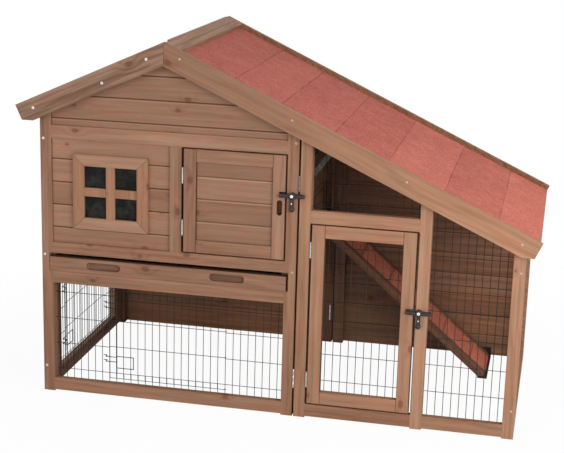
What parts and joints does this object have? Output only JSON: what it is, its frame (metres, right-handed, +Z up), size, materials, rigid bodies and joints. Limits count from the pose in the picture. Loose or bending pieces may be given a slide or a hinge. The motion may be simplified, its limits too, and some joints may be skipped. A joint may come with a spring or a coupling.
{
  "type": "outdoor rabbit hutch with run",
  "caption": "Two-storey wooden rabbit hutch with a wire-fronted run under one gabled felt roof, with hinged doors, pull-out tray, lifting lid and ramp.",
  "frame": {"origin": "middle of the ground area that the roof covers, at the height of the ground", "axes": "+X along the ridge-to-run length towards the run, +Y from the doors to the back, +Z up"},
  "size_m": [1.489, 0.734, 1.0656],
  "materials": {
    "pine": "satin",
    "pine_light": "satin",
    "pine_shaded": "matte",
    "roofing_felt": "matte",
    "black_wire": "satin",
    "galvanised_steel": "satin",
    "latch_plastic": "matte",
    "smoked_pane": "gloss"
  },
  "bodies": {
    "hutch": {"house_post_front_left": "pine", "house_post_front_right": "pine", "run_post_front_left": "pine", "gable_beam": "pine", "tray_top_rail": "pine", "tray_bottom_rail": "pine", "house_bottom_rail": "pine", "door_stile": "pine", "gable_boards": "pine", "front_wall_boards": "pine", "side_frame_left": "pine", "side_boards_left": "pine", "barge_front_left": "pine", "run_post_middle": "pine_light", "run_post_front_right": "pine_light", "window_frame": "pine_light", "side_frame_right": "pine_light", "run_header_rail": "pine_light", "run_bottom_rail_left": "pine_light", "run_bottom_rail_right": "pine_light", "back_panel_house": "pine_shaded", "back_panel_run": "pine_shaded", "partition_boards": "pine_shaded", "ramp_board": "pine_shaded", "roof_left_panel": "pine_shaded", "ramp_felt": "roofing_felt", "roof_left_felt": "roofing_felt", "front_net": "black_wire", "side_net_left": "black_wire", "side_net_right": "black_wire", "run_net_right": "black_wire", "run_net_top": "black_wire", "house_hinge_post_lower": "galvanised_steel", "house_hinge_post_upper": "galvanised_steel", "run_hinge_post_lower": "galvanised_steel", "run_hinge_post_upper": "galvanised_steel", "roof_hinge_fixed_leaf": "galvanised_steel", "window_pane": "smoked_pane"},
    "house_door": {"house_door_frame": "pine", "house_door_boards": "pine", "house_hinge_door_lower": "galvanised_steel", "house_hinge_door_upper": "galvanised_steel"},
    "run_door": {"run_door_frame": "pine_light", "run_door_net": "black_wire", "run_hinge_door_lower": "galvanised_steel", "run_hinge_door_upper": "galvanised_steel"},
    "house_turn_latch": {"house_latch": "latch_plastic"},
    "run_turn_latch": {"run_latch": "latch_plastic"},
    "tray": {"tray_front": "pine", "tray_pan": "galvanised_steel"},
    "roof_lid": {"roof_right_panel": "pine_shaded", "roof_right_felt": "roofing_felt", "barge_front_right": "pine_light", "ridge_strip": "pine_light", "roof_hinge_lid_leaf": "galvanised_steel"},
    "lid_stay": {"roof_stay": "galvanised_steel"},
    "front_wire_gate": {"front_wire_door": "black_wire"},
    "front_gate_latch": {"front_wire_latch": "black_wire"},
    "side_wire_gate": {"side_wire_door": "black_wire"},
    "side_gate_latch": {"side_wire_latch": "black_wire"}
  },
  "joints": [
    {"name": "house_door_hinge", "type": "hinge", "parent": "hutch", "child": "house_door", "pos_m": [-0.259, -0.3466, 0.613], "axis": [0, 0, -1], "range_deg": [0, 170]},
    {"name": "run_door_hinge", "type": "hinge", "parent": "hutch", "child": "run_door", "pos_m": [0.112, -0.3466, 0.308], "axis": [0, 0, -1], "range_deg": [0, 100]},
    {"name": "house_latch_turn", "type": "hinge", "parent": "hutch", "child": "house_turn_latch", "pos_m": [0.056, -0.352, 0.651], "axis": [0, -1, 0], "range_deg": [0, 90]},
    {"name": "run_latch_turn", "type": "hinge", "parent": "hutch", "child": "run_turn_latch", "pos_m": [0.4225, -0.352, 0.346], "axis": [0, -1, 0], "range_deg": [0, 90]},
    {"name": "tray_slide", "type": "slide", "parent": "hutch", "child": "tray", "axis": [0, -1, 0], "range_m": [0, 0.56]},
    {"name": "roof_lid_hinge", "type": "hinge", "parent": "hutch", "child": "roof_lid", "pos_m": [-0.3105, 0, 1.0575], "axis": [0, -1, 0], "range_deg": [0, 45]},
    {"name": "lid_stay_pivot", "type": "hinge", "parent": "roof_lid", "child": "lid_stay", "pos_m": [0.1729, -0.305, 0.7968], "axis": [0, 1, 0], "range_deg": [-50, 8]},
    {"name": "front_wire_gate_hinge", "type": "hinge", "parent": "hutch", "child": "front_wire_gate", "pos_m": [-0.131, -0.3261, 0.186], "axis": [0, 0, 1], "range_deg": [0, 105]},
    {"name": "front_gate_latch_slide", "type": "slide", "parent": "front_wire_gate", "child": "front_gate_latch", "axis": [1, 0, 0], "range_m": [-0.0055, 0.002]},
    {"name": "side_wire_gate_hinge", "type": "hinge", "parent": "hutch", "child": "side_wire_gate", "pos_m": [-0.6616, 0.1365, 0.186], "axis": [0, 0, -1], "range_deg": [0, 105]},
    {"name": "side_gate_latch_slide", "type": "slide", "parent": "side_wire_gate", "child": "side_gate_latch", "axis": [0, 1, 0], "range_m": [-0.0055, 0.002]}
  ]
}
